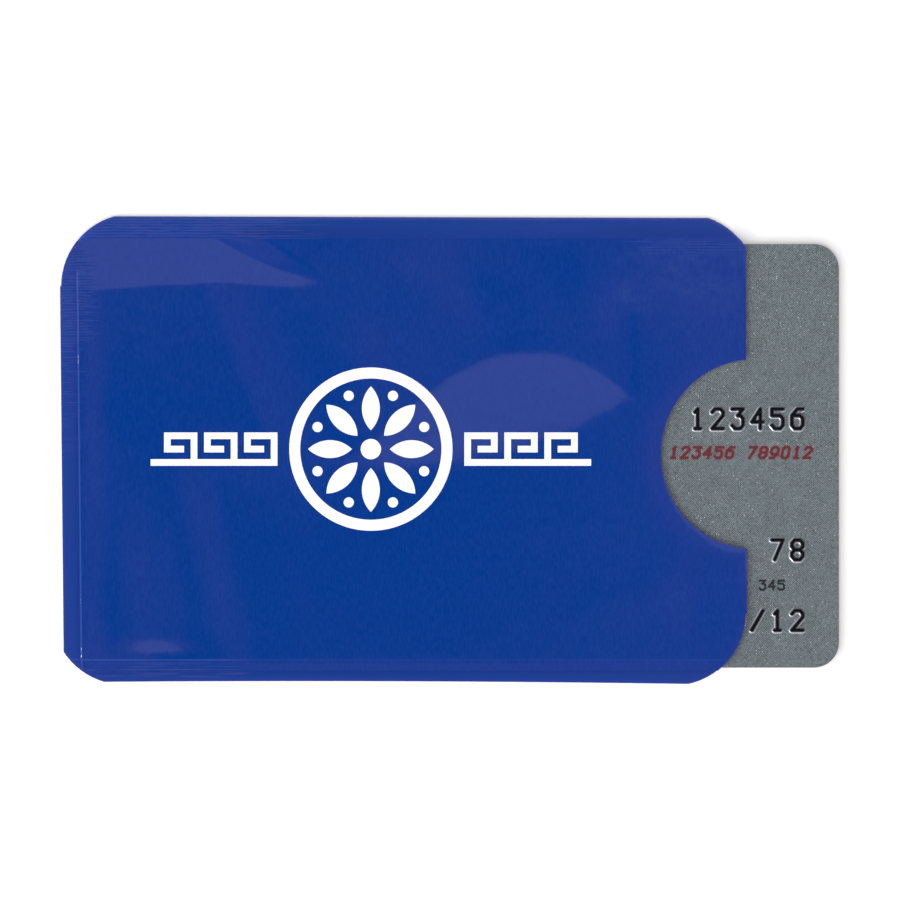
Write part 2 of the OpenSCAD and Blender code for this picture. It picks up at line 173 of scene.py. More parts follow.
# Bumps and hollows of the film: middle, radii, turn in degrees, height
DOMES = [
    ((-31, -27.0), (4.5, 1.7), 0, 0.125),
    ((-33, 4.5), (3.4, 1.8), -10, -0.03),
    ((-36, -17), (2.6, 8), 8, -0.05),
    ((-28, -18), (1.6, 6), 12, 0.015),
    ((-10.5, -19), (2.4, 6), 12, 0.03),
    ((-10, 25), (5, 7), 0, -0.07),
    ((-4, 17), (4, 3), 30, -0.03),
    ((2, 20), (5, 2.5), 10, 0.03),
    ((9, 19.5), (2.2, 2.6), 30, -0.03),
    ((21, 19), (3.0, 4.0), 20, -0.04),
    ((28.3, 17.0), (2.2, 2.4), 0, 0.032),
    ((35, 15), (3.0, 6.0), 10, 0.02),
    ((18, -9.8), (12, 1.2), 3, 0.014),
    ((27, -19.5), (3.0, 1.6), 15, 0.018),
    ((33, -17), (2.4, 3.0), -30, 0.018),
    ((37, -21), (2.0, 2.6), 20, -0.025),
]


def crown_height(x, y):
    """Height of the film over the pocket, which is nearly flat with a few shallow folds."""
    z = np.full_like(x, PLATEAU_Z - FILM_SINK)
    # A shallow valley across the sleeve, near the closed end
    past_line = x - VALLEY_X + VALLEY_LEAN * y
    across = past_line / np.where(past_line > 0, VALLEY_FRONT_REACH, VALLEY_BACK_REACH)
    depth = VALLEY_DEPTH + VALLEY_GAIN * ease((y + 14) / 18)
    z -= depth * ramp(1.0 - np.sqrt(across * across + 0.01), 0.4)
    # The facet in the middle that falls towards the upper side, between its lower and upper edge
    low = -3.1 + 0.010 * (x + 1) ** 2
    high = 12.3 - 0.015 * np.abs(x - 15.7) ** 2.3
    high = low + ramp(high - low, 1.5 + 7 * ease((8 - x) / 12))
    z -= FACET_SLOPE * (ramp(y - low, 0.9) - ramp(y - high, 0.6))
    # The fold at the lower left
    fold = LEFT_FOLD * (1 + 0.20 * np.exp(-((y + 7) / 4.5) ** 2)) * ease((7 - y) / 9)
    z -= fold * ease((-27.3 - 0.21 * y - x) / 7.0 + 0.5)
    # The upper left, which bends down to the seal, and the closed end
    past = np.clip(y - 20.6 - 0.5 * np.sin((x + 36) / 6.0) - 0.10 * np.clip(x + 18, 0, None), 0, None)
    z -= CORNER_BEND * past * past / (past + 0.8) * ease((-18 + 1.7 * (27 - y) - x) / 7)
    z -= END_DROP * ease(1 - (x - POCKET_END) / 4.2) ** 1.3
    # The upper right, which twists down where no raised numbers lie beneath, and the lip of the mouth
    z -= RIGHT_TWIST * (ramp(x - 18, 2) - ramp(x - 34, 2)) * ramp(y - 8, 2)
    z -= LIP_DROP * ease((x - 33) / 10.7) * ease((y - 5.4) / 20)
    for middle, radii, turn, height in DOMES:
        z += dome(x, y, middle, radii, turn, height)
    # The rim of the notch, and the lower side
    z -= NOTCH_DROP * np.exp(-np.clip(np.hypot(x - NOTCH_X, y - NOTCH_Y) - NOTCH_R, 0, None) / 1.1)
    past = np.clip(-26.9 - y, 0, None)
    z -= LOWER_BEND * past * past / (past + 0.4)
    return np.minimum(z, PLATEAU_Z)


def end_wall_x(y):
    """X of the pocket's closed end at y, which leans a little."""
    return POCKET_END + END_SHIFT - END_LEAN * y


def pocket_inset(x, y):
    """Distance of points into the pocket from its walls, below 0 outside."""
    from_end = x - end_wall_x(y)
    from_side = np.minimum(y - POCKET_LOW, POCKET_HIGH - y)
    straight = np.minimum(from_end, from_side)
    corner = POCKET_CORNER_R - np.hypot(POCKET_CORNER_R - from_end, POCKET_CORNER_R - from_side)
    return np.where((from_end < POCKET_CORNER_R) & (from_side < POCKET_CORNER_R), corner, straight)


def front_height(x, y, depth):
    """Height of the front panel's face that lies depth below its outside."""
    inset = pocket_inset(x, y)
    wall_start = depth - LINER_DEPTH
    up = ease((inset - wall_start) / WALL_RUN)
    return FLANGE_Z + (crown_height(x, y) - FLANGE_Z) * up - depth


def distance_to(points, starts, ends):
    """Distance of plan points to the nearest of the segments from starts to ends."""
    nearest = np.full(len(points), 1e9)
    for start, end in zip(starts, ends):
        run = end - start
        share = np.clip((points - start) @ run / max(run @ run, 1e-12), 0, 1)
        nearest = np.minimum(nearest, np.linalg.norm(points - start - share[:, None] * run, axis=1))
    return nearest


def cap_loops(node):
    """Outlines of a CAD node's flat top as closed loops of plan points, in millimetres."""
    mesh = frame["nodes"][node].data
    top = max(v.co.z for v in mesh.vertices)
    key = {v.index: (round(v.co.x / MM, 3), round(v.co.y / MM, 3)) for v in mesh.vertices}
    edges = set()
    for polygon in mesh.polygons:
        corners = [mesh.vertices[i].co.z for i in polygon.vertices]
        if max(corners) - min(corners) > 1e-7 or top - min(corners) > 1e-7:
            continue
        ring = [key[i] for i in polygon.vertices]
        edges |= {(a, b) for a, b in zip(ring, ring[1:] + ring[:1]) if a != b}
    rim = {a: b for a, b in edges if (b, a) not in edges}
    loops = []
    while rim:
        start, spot = rim.popitem()
        loop = [start]
        while spot != start:
            loop.append(spot)
            spot = rim.pop(spot)
        loops.append(np.array(loop))
    return sorted(loops, key=lambda loop: tuple(loop.min(0)))


def in_short_steps(loop, step):
    """A closed loop with more points, so that none of its edges is longer than step."""
    spots = []
    for start, end in zip(loop, np.roll(loop, -1, 0)):
        count = max(1, math.ceil(np.linalg.norm(end - start) / step))
        spots += [start + (end - start) * i / count for i in range(count)]
    return np.array(spots)


def inset_loop(loop, distance):
    """A closed loop moved in by distance; the inside is on the left of each edge."""
    ahead = np.roll(loop, -1, 0) - loop
    ahead /= np.linalg.norm(ahead, axis=1)[:, None]
    left = np.stack([-ahead[:, 1], ahead[:, 0]], 1)
    both = left + np.roll(left, 1, 0)
    return loop + distance * both * (2 / np.maximum((both * both).sum(1), 0.5))[:, None]


def grid_points(x_low, x_high, x_step, y_low, y_high, y_step):
    """Plan points at the corners of a grid."""
    xs = np.linspace(x_low, x_high, max(2, round((x_high - x_low) / x_step) + 1))
    ys = np.linspace(y_low, y_high, max(2, round((y_high - y_low) / y_step) + 1))
    return np.stack(np.meshgrid(xs, ys), -1).reshape(-1, 2)


# Corners of a filled outline that lie closer together than this become one, in millimetres
JOIN_WITHIN = 1e-5

# Least share of an edge that a cut leaves on either side
LEAST_SHARE = 0.02


def filled(loops, lines=(), points=()):
    """Triangles that fill the closed loops by the even-odd rule, with corners on the open lines and at
    the points too. Gives the plan points and the triangles."""
    spots = []
    edges = []
    for loop in loops:
        first = len(spots)
        spots += [Vector(p) for p in loop]
        edges += [(first + i, first + (i + 1) % len(loop)) for i in range(len(loop))]
    rim_count = len(edges)
    for line in lines:
        first = len(spots)
        spots += [Vector(p) for p in line]
        edges += [(first + i, first + i + 1) for i in range(len(line) - 1)]
    spots += [Vector(p) for p in points]
    plan, _, triangles, _, _, _ = delaunay_2d_cdt(spots, edges, [], 0, JOIN_WITHIN)
    plan = np.array([tuple(p) for p in plan])
    triangles = np.array(triangles)
    middles = plan[triangles].mean(1)
    crossings = np.zeros(len(middles), int)
    for a, b in edges[:rim_count]:
        (ax, ay), (bx, by) = spots[a], spots[b]
        if ay == by:
            continue
        spans = (middles[:, 1] < max(ay, by)) & (middles[:, 1] >= min(ay, by))
        crossings += spans & (middles[:, 0] < ax + (middles[:, 1] - ay) * (bx - ax) / (by - ay))
    triangles = triangles[crossings % 2 == 1]
    used, triangles = np.unique(triangles, return_inverse=True)
    return plan[used], triangles.reshape(-1, 3)


def clipped(points, triangles, values, level):
    """The part of a triangle mesh where values lie below level, cut along the level's line."""
    cuts = {}
    spots = [tuple(p) for p in points]
    triangles = triangles[(values[triangles] < level).any(1)]
    made = []

    def cut(a, b):
        pair = (min(a, b), max(a, b))
        if pair not in cuts:
            share = (level - values[pair[0]]) / (values[pair[1]] - values[pair[0]])
            share = min(max(share, LEAST_SHARE), 1 - LEAST_SHARE)
            cuts[pair] = len(spots)
            spots.append(tuple(points[pair[0]] + share * (points[pair[1]] - points[pair[0]])))
        return cuts[pair]

    for triangle in triangles:
        ring = []
        for a, b in zip(triangle, np.roll(triangle, -1)):
            if values[a] < level:
                ring.append(a)
            if (values[a] < level) != (values[b] < level):
                ring.append(cut(a, b))
        made += [(ring[0], ring[i], ring[i + 1]) for i in range(1, len(ring) - 1)]
    used, made = np.unique(np.array(made), return_inverse=True)
    return np.array(spots)[used], made.reshape(-1, 3)


def closed_sheet(name, plan, triangles, top, bottom):
    """Mesh object of a thin sheet with the plan's triangles as its upper and lower face."""
    count = len(plan)
    corners = np.concatenate([np.column_stack([plan, top]), np.column_stack([plan, bottom])]) * MM
    directed = {(a, b) for t in triangles for a, b in ((t[0], t[1]), (t[1], t[2]), (t[2], t[0]))}
    rim = sorted((a, b) for a, b in directed if (b, a) not in directed)
    faces = [tuple(t) for t in triangles]
    faces += [tuple(t[::-1] + count) for t in triangles]
    faces += [(a + count, b + count, b, a) for a, b in rim]
    mesh = bpy.data.meshes.new(name)
    mesh.from_pydata([tuple(c) for c in corners], [], [tuple(int(i) for i in f) for f in faces])
    mesh.polygons.foreach_set("use_smooth", [True] * len(faces))
    mesh.validate()
    mesh.set_sharp_from_angle(angle=math.radians(60))
    made = bpy.data.objects.new(name, mesh)
    bpy.context.scene.collection.objects.link(made)
    return made


def dressed(piece, body, nodes, material):
    """Gives a new piece its body, the CAD nodes that it stands for and its material."""
    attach(piece, body)
    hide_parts(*nodes)
    piece.data.materials.append(material)
    return piece


def pocket_contour(inset, step):
    """Open line round the pocket at a distance into it, from the mouth's lower end to its upper end."""
    r = POCKET_CORNER_R - inset
    low, high = POCKET_LOW + inset, POCKET_HIGH - inset
    past_mouth = MOUTH_X + 2
    corner_low = np.array([end_wall_x(low + r) + inset + r, low + r])
    corner_high = np.array([end_wall_x(high - r) + inset + r, high - r])
    turns = np.radians(np.arange(0, 91, 6))
    low_arc = [corner_low + r * np.array([-math.sin(t), -math.cos(t)]) for t in turns]
    high_arc = [corner_high + r * np.array([-math.cos(t), math.sin(t)]) for t in turns]
    across = np.arange(past_mouth, corner_low[0] + 0.5 * step, -step)
    up = np.arange(low_arc[-1][1] + step, high_arc[0][1] - 0.5 * step, step)
    back = across[::-1]
    return (
        [(x, low) for x in across]
        + [tuple(p) for p in low_arc]
        + [(end_wall_x(y) + inset, y) for y in up]
        + [tuple(p) for p in high_arc]
        + [(x, high) for x in back]
    )


# Steps of the front panel's meshes: the film's, the inner layers' and the ink's, and how far the points
# inside the ink keep from its outlines
FILM_STEP = 0.55
LAYER_STEP = 1.3
INK_STEP = 0.4
INK_CLEARANCE = 0.1

# Distances into the pocket of the mesh's lines along its wall, where the four pairs that lie WALL_RUN apart
# are the walls of the layers' faces, and the band round the wall that only has these lines
WALL_LINES = [-0.30, -0.16, -0.15, -0.12, -0.10, -0.09, -0.08, -0.07, -0.03, 0.0, 0.01, 0.06, 0.2, 0.45, 0.75]
WALL_BAND = (-0.33, 0.8)

# The same for the panel's rim
RIM_LINES = (0.07, 0.2)
RIM_BAND = 0.24

# How far in from its rim the front panel bends down, and by how much
RIM_REACH = 0.06
RIM_DROP = 0.012


def front_plan(outline, step):
    """Plan points and triangles of a layer of the front panel, close together round the pocket's wall."""
    lines = [pocket_contour(inset, step) for inset in WALL_LINES]
    rims = [inset_loop(outline, inset) for inset in RIM_LINES]
    lines += [np.concatenate([rim, rim[:1]]) for rim in rims]
    points = grid_points(SLEEVE_LOW[0], SLEEVE_HIGH[0], step, SLEEVE_LOW[1], SLEEVE_HIGH[1], step)
    inset = pocket_inset(points[:, 0], points[:, 1])
    ends = np.roll(outline, -1, 0)
    rim = distance_to(points, outline, ends)
    points = points[((inset < WALL_BAND[0]) | (inset > WALL_BAND[1])) & (rim > RIM_BAND)]
    return filled([outline], lines, points)


def panel_piece(name, plan, triangles, outline, upper_depth, lower_depth):
    """One layer of the front panel between two depths below its outside. Its rim is bent down a little,
    and the mesh keeps how near each point lies to the rim."""
    x, y = plan[:, 0], plan[:, 1]
    near_rim = np.exp(-distance_to(plan, outline, np.roll(outline, -1, 0)) / RIM_REACH)
    top = front_height(x, y, upper_depth) - RIM_DROP * near_rim
    bottom = front_height(x, y, lower_depth)
    piece = closed_sheet(name, plan, triangles, top, bottom)
    rim = piece.data.attributes.new("near_rim", "FLOAT", "POINT")
    rim.data.foreach_set("value", np.concatenate([near_rim, near_rim]))
    return piece


# Characters as strokes between points of a grid that is 4 wide and 6 high
GLYPH_COLUMNS = 4
GLYPH_ROWS = 6
GLYPHS = {
    "0": [[(1, 0), (0, 1), (0, 5), (1, 6), (3, 6), (4, 5), (4, 1), (3, 0), (1, 0)]],
    "1": [[(1, 5), (2, 6), (2, 0)], [(1, 0), (3, 0)]],
    "2": [[(0, 5), (1, 6), (3, 6), (4, 5), (4, 4), (0, 0), (4, 0)]],
    "3": [[(0, 6), (4, 6), (2, 4), (3, 4), (4, 3), (4, 1), (3, 0), (1, 0), (0, 1)]],
    "4": [[(3, 0), (3, 6), (0, 2), (4, 2)]],
    "5": [[(4, 6), (0, 6), (0, 4), (3, 4), (4, 3), (4, 1), (3, 0), (1, 0), (0, 1)]],
    "6": [[(4, 6), (2, 6), (0, 4), (0, 1), (1, 0), (3, 0), (4, 1), (4, 3), (3, 4), (0, 4)]],
    "7": [[(0, 6), (4, 6), (1, 0)]],
    "8": [[(1, 3), (0, 4), (0, 5), (1, 6), (3, 6), (4, 5), (4, 4), (3, 3), (4, 2), (4, 1),
           (3, 0), (1, 0), (0, 1), (0, 2), (1, 3), (3, 3)]],
    "9": [[(0, 0), (2, 0), (4, 2), (4, 5), (3, 6), (1, 6), (0, 5), (0, 3), (1, 2), (4, 2)]],
    "/": [[(0, 0), (4, 6)]],
}

# The embossed rows' characters, and their pitch, width, height and stroke
EMBOSSED_ROWS = {
    "embossed_number_row": "123456",
    "embossed_pair_row": "78",
    "embossed_date_row": "09/12",
}
EMBOSS_PITCH = 2.54
DIGIT_WIDTH = 1.4
DIGIT_HEIGHT = 2.5
DIGIT_STROKE = 0.45

# The embossing's cross-section: half the width of its crest, of its steep part, of its foot and of the
# black on it, and the share of its height that the steep part has
CREST_HALF = 0.11
STEEP_HALF = 0.24
FOOT_HALF = 0.48
STEEP_SHARE = 0.58
TIPPING_HALF = 0.195
TIPPING_T = 0.012
TIPPING_LIFT = 0.006

# Steps of the card's mesh, on its plain parts and on the embossing, how far the plain parts keep from the
# embossing's strokes and from the card's rim, and how far the embossing's part reaches past its foot
CARD_STEP = 3.0
RELIEF_STEP = 0.07
STROKE_CLEARANCE = 0.8
RIM_CLEARANCE = 0.5
PAST_FOOT = 0.08


def row_segments(node):
    """Strokes of an embossed row, as arrays of the plan points that they start and end at."""
    characters = EMBOSSED_ROWS[node]
    low, high = box_mm(node)
    base_y = (low[1] + high[1] - DIGIT_HEIGHT) / 2
    last_x = high[0] - DIGIT_STROKE / 2 - DIGIT_WIDTH
    starts = []
    ends = []
    for i, character in enumerate(characters):
        left = last_x - (len(characters) - 1 - i) * EMBOSS_PITCH
        for line in GLYPHS[character]:
            spots = [
                (left + x * DIGIT_WIDTH / GLYPH_COLUMNS, base_y + y * DIGIT_HEIGHT / GLYPH_ROWS)
                for x, y in line
            ]
            starts += spots[:-1]
            ends += spots[1:]
    return np.array(starts), np.array(ends)


def emboss_rise(distance):
    """Height of the embossing at a distance from the middle of its strokes."""
    height = EMBOSS_TOP_Z - CARD_TOP_Z - TIPPING_T - TIPPING_LIFT
    steep = ease((STEEP_HALF - distance) / (STEEP_HALF - CREST_HALF))
    skirt = np.clip((FOOT_HALF - distance) / (FOOT_HALF - CREST_HALF), 0, 1) ** 1.2
    return height * (STEEP_SHARE * steep + (1 - STEEP_SHARE) * skirt)


def near_strokes(starts, ends, step, reach):
    """Grid points within reach of the strokes."""
    low = np.minimum(starts.min(0), ends.min(0)) - reach
    high = np.maximum(starts.max(0), ends.max(0)) + reach
    points = grid_points(low[0], high[0], step, low[1], high[1], step)
    distance = distance_to(points, starts, ends)
    return points[distance < reach]


def node_material(name):
    """New material that has only a Principled shader, its node tree and that shader."""
    material = bpy.data.materials.new(name)
    material.use_nodes = True
    tree = material.node_tree
    tree.nodes.clear()
    output = tree.nodes.new("ShaderNodeOutputMaterial")
    shader = tree.nodes.new("ShaderNodeBsdfPrincipled")
    tree.links.new(shader.outputs["BSDF"], output.inputs["Surface"])
    return material, tree, shader


def feed(tree, value, socket):
    """Links a node's output to a socket, or sets the socket to a plain value."""
    if isinstance(value, bpy.types.NodeSocket):
        tree.links.new(value, socket)
    else:
        socket.default_value = value


def maths(tree, operation, *values):
    """Result of a maths node."""
    node = tree.nodes.new("ShaderNodeMath")
    node.operation = operation
    for value, socket in zip(values, node.inputs):
        feed(tree, value, socket)
    return node.outputs[0]


def plus(tree, first, second):
    """Sum of two values."""
    return maths(tree, "ADD", first, second)


def times(tree, first, second):
    """Product of two values."""
    return maths(tree, "MULTIPLY", first, second)


def smooth_range(tree, value, low, high, to_low=0.0, to_high=1.0):
    """Value mapped smoothly from low..high to to_low..to_high."""
    node = tree.nodes.new("ShaderNodeMapRange")
    node.interpolation_type = "SMOOTHSTEP"
    feed(tree, value, node.inputs["Value"])
    for name, number in zip(("From Min", "From Max", "To Min", "To Max"), (low, high, to_low, to_high)):
        node.inputs[name].default_value = number
    return node.outputs["Result"]


def attribute(tree, name):
    """Number that a mesh keeps under a name, and 0 on a mesh without it."""
    node = tree.nodes.new("ShaderNodeAttribute")
    node.attribute_name = name
    return node.outputs["Fac"]


def span(tree, value, low, high, soft):
    """1 between low and high, falling smoothly to 0 over soft outside them."""
    rising = smooth_range(tree, value, low - soft, low)
    falling = smooth_range(tree, value, high, high + soft, 1.0, 0.0)
    return times(tree, rising, falling)


def object_mm(tree):
    """Surface place in the frame's axes, in millimetres, as a vector and as x, y and z."""
    place = tree.nodes.new("ShaderNodeTexCoord").outputs["Object"]
    scaled = tree.nodes.new("ShaderNodeVectorMath")
    scaled.operation = "SCALE"
    tree.links.new(place, scaled.inputs[0])
    scaled.inputs["Scale"].default_value = 1 / MM
    parts = tree.nodes.new("ShaderNodeSeparateXYZ")
    tree.links.new(scaled.outputs[0], parts.inputs[0])
    return scaled.outputs[0], parts.outputs


def stretched(tree, vector, scale):
    """Vector with each part scaled by its own factor."""
    node = tree.nodes.new("ShaderNodeVectorMath")
    node.operation = "MULTIPLY"
    tree.links.new(vector, node.inputs[0])
    node.inputs[1].default_value = scale
    return node.outputs[0]


def noise(tree, vector, scale, detail=2.0, roughness=0.5):
    """Noise from 0 to 1, with scale features to the millimetre."""
    node = tree.nodes.new("ShaderNodeTexNoise")
    tree.links.new(vector, node.inputs["Vector"])
    node.inputs["Scale"].default_value = scale
    node.inputs["Detail"].default_value = detail
    node.inputs["Roughness"].default_value = roughness
    return node.outputs["Fac"]


def mixed_colour(tree, share, first, second):
    """Mix of two colours."""
    node = tree.nodes.new("ShaderNodeMix")
    node.data_type = "RGBA"
    feed(tree, share, node.inputs["Factor"])
    for value, socket in zip((first, second), (node.inputs[6], node.inputs[7])):
        feed(tree, (*value, 1) if isinstance(value, tuple) else value, socket)
    return node.outputs[2]


def shaded(tree, colour, factor):
    """Colour multiplied by a number."""
    node = tree.nodes.new("ShaderNodeVectorMath")
    node.operation = "SCALE"
    feed(tree, colour, node.inputs[0])
    feed(tree, factor, node.inputs["Scale"])
    return node.outputs[0]


def bumped(tree, shader, height, distance):
    """Small relief on a shader, with heights in millimetres at a height value of 1."""
    node = tree.nodes.new("ShaderNodeBump")
    node.inputs["Strength"].default_value = 1.0
    node.inputs["Distance"].default_value = distance * MM
    tree.links.new(height, node.inputs["Height"])
    tree.links.new(node.outputs["Normal"], shader.inputs["Normal"])


def plain_finish(name, colour, roughness, spread, grain, metallic=0.0):
    """Material with a slightly uneven colour and finish. Spread is how much both vary, and grain is
    the number of features to the millimetre."""
    material, tree, shader = node_material(name)
    place, _ = object_mm(tree)
    cloudy = noise(tree, place, grain * 0.15, 3)
    fine = noise(tree, place, grain, 2)
    tone = plus(tree, times(tree, cloudy, 0.6), times(tree, fine, 0.4))
    factor = smooth_range(tree, tone, 0.25, 0.75, 1 - spread, 1 + spread)
    tree.links.new(shaded(tree, colour, factor), shader.inputs["Base Color"])
    rough = smooth_range(tree, tone, 0.25, 0.75, roughness * (1 + spread), roughness * (1 - spread))
    tree.links.new(rough, shader.inputs["Roughness"])
    shader.inputs["Metallic"].default_value = metallic
    bumped(tree, shader, fine, 0.0015)
    return material


# Colours of the film: its grain's, its seals' (lighter partly as painted light), the painted highlight along
# its crease lines, its cut edge's, the foil's under it, and the tint of its gloss
DARK_GRAIN = (0.0000, 0.0375, 0.2440)
LIGHT_GRAIN = (0.0030, 0.0425, 0.2620)
SEAL_BLUE_WITH_PAINTED_LIGHT = (0.0095, 0.0507, 0.2850)
CREASE_HIGHLIGHT_BLUE = (0.0500, 0.1100, 0.4200)
EDGE_VIOLET = (0.0450, 0.0300, 0.3000)
FOIL_SILVER = (0.75, 0.76, 0.78)
FILM_SHEEN_TINT = (0.92, 0.62, 1.0, 1.0)


def film_blue(tree, place, grain):
    """Deep blue of the film with its grain and faint clouds."""
    cloudy = noise(tree, place, 0.35, 4, 0.6)
    tone = plus(tree, times(tree, grain, 0.5), times(tree, cloudy, 0.5))
    streaks = smooth_range(tree, grain, 0.32, 0.68)
    blue = mixed_colour(tree, streaks, DARK_GRAIN, LIGHT_GRAIN)
    return shaded(tree, blue, smooth_range(tree, tone, 0.3, 0.7, 0.98, 1.02))


def seal_tint_and_painted_light(tree, colour, y, z):
    """The colour, duller on the seals, which lie at the height of the flanges, and lighter there partly as
    painted light against the shade beside the walls. Just past the pocket's upper wall it is lighter still,
    as painted light that offsets the wall's shade."""
    on_seal = smooth_range(tree, z, FLANGE_Z + SEAL_FADE[0], FLANGE_Z + SEAL_FADE[1])
    # The seals' blue is lighter than the film's, partly as painted light against the shade beside the walls
    colour = mixed_colour(tree, on_seal, colour, SEAL_BLUE_WITH_PAINTED_LIGHT)
    # Painted light just past the upper wall, offsetting the wall's shade on the seal
    past_wall = maths(tree, "MAXIMUM", maths(tree, "SUBTRACT", y, POCKET_HIGH), -0.2)
    painted_light_past_wall = maths(tree, "EXPONENT", times(tree, past_wall, -PAINTED_LIGHT_FALLOFF))
    painted_light_past_wall = maths(tree, "SUBTRACT", times(tree, painted_light_past_wall, PAINTED_LIGHT_SHARE), BY_WALL_DARK)
    painted_light_past_wall = times(tree, painted_light_past_wall, maths(tree, "GREATER_THAN", past_wall, -0.1))
    return shaded(tree, colour, plus(tree, times(tree, painted_light_past_wall, on_seal), 1.0))


def seal_ribs(tree, place, x, y):
    """Crimp ribs, from -1 to 1: of uneven strength and length along the upper side, the lower side and
    the closed end, and faint further down the closed end and at the mouth."""
    ragged = noise(tree, stretched(tree, place, (0.0, 1.0, 0.0)), 2.4, 2)
    long_x = plus(tree, x, smooth_range(tree, ragged, 0.2, 0.8, -6.0, 6.0))
    short_x = plus(tree, x, smooth_range(tree, ragged, 0.3, 0.7, -1.3, 1.3))
    upper = times(tree, span(tree, y, 26.9, 29.3, 0.3), span(tree, long_x, -42, -20, 9))
    lower = times(tree, span(tree, y, -29.1, -27.3, 0.3), span(tree, long_x, -38, -24, 5))
    closed = times(tree, span(tree, y, 14.5, 25.0, 1.5), span(tree, short_x, -44, -40.2, 0.6))
    sparse = times(tree, span(tree, y, 0.0, 14.0, 2.0), span(tree, short_x, -44, -41.6, 0.4))
    mouth = times(tree, span(tree, y, 24.9, 26.3, 0.3), span(tree, long_x, 33, 41, 3))
    faint = times(tree, plus(tree, sparse, mouth), 0.35)
    ribbed = plus(tree, plus(tree, upper, lower), plus(tree, closed, faint))
    uneven = noise(tree, stretched(tree, place, (0.10, 1.0, 0.10)), 2.6, 1)
    ribbed = times(tree, ribbed, smooth_range(tree, uneven, 0.36, 0.62, 0.15, 1.0))
    wobble = smooth_range(tree, noise(tree, place, 0.5, 2), 0.2, 0.8, -0.9, 0.9)
    phase = plus(tree, times(tree, y, 2 * math.pi / RIB_PITCH), wobble)
    return times(tree, maths(tree, "SINE", phase), ribbed)


def painted_crease_light_and_wear(tree, colour, place, x, y):
    """The colour with a painted highlight along the crease lines beside the closed end and the lower seal.
    The closed end's is worn to the foil in three spots."""
    seam = plus(tree, times(tree, y, END_LEAN), x)
    off_seam = maths(tree, "ABSOLUTE", maths(tree, "SUBTRACT", seam, POCKET_END + END_SHIFT - 0.02))
    end_span = span(tree, y, -27.6, 22.0, 1.5)
    end_highlight = times(tree, smooth_range(tree, off_seam, 0.05, 0.16, 1.0, 0.0), end_span)
    off_low = maths(tree, "ABSOLUTE", plus(tree, y, -LOW_CREASE_Y))
    low_span = plus(tree, span(tree, x, -42.5, -24.0, 5.0), 0.35)
    low_span = times(tree, low_span, span(tree, x, -42.5, 41.0, 1.5))
    low_highlight = times(tree, smooth_range(tree, off_low, 0.03, 0.13, 0.6, 0.0), low_span)
    crease_highlights = maths(tree, "MAXIMUM", end_highlight, low_highlight)
    # Lighter blue along the crease lines: a painted highlight of their crests
    colour = mixed_colour(tree, times(tree, crease_highlights, 0.55), colour, CREASE_HIGHLIGHT_BLUE)
    jitter = noise(tree, stretched(tree, place, (0.2, 1.0, 0.2)), 1.3, 4, 0.7)
    width = smooth_range(tree, jitter, 0.40, 0.75, 0.0, 0.12)
    on_seam = maths(tree, "LESS_THAN", off_seam, width)
    worn = 0.0
    for low, high, soft, strength in WORN_SPOTS:
        spot = times(tree, span(tree, y, low, high, soft), strength)
        worn = maths(tree, "MAXIMUM", spot, worn)
    return mixed_colour(tree, times(tree, on_seam, worn), colour, FOIL_SILVER)


def film_material():
    """Glossy deep-blue printed film: a fine grain along the sleeve's width, crimp ribs with painted light and
    shade along them, a duller blue on the seals that is lighter partly as painted light, a painted highlight
    along the crease lines beside them, and a thin violet line round the cut edge."""
    material, tree, shader = node_material("blue_film_gloss")
    place, (x, y, z) = object_mm(tree)
    grain = noise(tree, stretched(tree, place, (1.0, 0.25, 1.0)), 4.2, 3, 0.6)
    ribs = seal_ribs(tree, place, x, y)
    colour = seal_tint_and_painted_light(tree, film_blue(tree, place, grain), y, z)
    # Painted light and shade in step with the crimp ribs
    colour = shaded(tree, colour, plus(tree, times(tree, ribs, RIB_PAINTED_SHADING), 1.0))
    colour = painted_crease_light_and_wear(tree, colour, place, x, y)
    rim = smooth_range(tree, attribute(tree, "near_rim"), 0.15, 0.6, 0.0, 0.85)
    tree.links.new(mixed_colour(tree, rim, colour, EDGE_VIOLET), shader.inputs["Base Color"])
    tree.links.new(smooth_range(tree, grain, 0.2, 0.8, 0.035, 0.070), shader.inputs["Roughness"])
    shader.inputs["IOR"].default_value = 1.5
    shader.inputs["Specular Tint"].default_value = FILM_SHEEN_TINT
    folds = noise(tree, place, 0.22, 2, 0.45)
    relief = plus(tree, times(tree, grain, GRAIN_HEIGHT), times(tree, folds, SOFT_FOLD_HEIGHT))
    relief = plus(tree, relief, times(tree, ribs, RIB_HEIGHT))
    bumped(tree, shader, relief, 1.0)
    return material


# The card's print: its colour, those of its raised parts and of its flakes, which are painted white as
# their glints, and how many repeats of the screen of dots and how many cells, a few of which hold one of
# the flakes, lie in a millimetre
CARD_GREY = (0.119, 0.150, 0.161)
RAISED_GREY = (0.40, 0.40, 0.45)
FLAKE_GLINT_WHITE = (0.92, 0.94, 0.96)
SCREEN_TURNS = 3.44
FLAKE_CELLS = 6.5

# The foil on the embossing, and where it is scuffed
TIPPING_BLACK = (0.0015, 0.0025, 0.0045)
SCUFF_GREY = (0.05, 0.055, 0.06)


def printed_screen(tree, x, y):
    """Diagonal printing screen: -1 to 1 over rows of dots."""
    turn = 2 * math.pi * SCREEN_TURNS
    one_way = maths(tree, "COSINE", times(tree, x, turn))
    other_way = maths(tree, "COSINE", times(tree, y, turn))
    return times(tree, one_way, other_way)


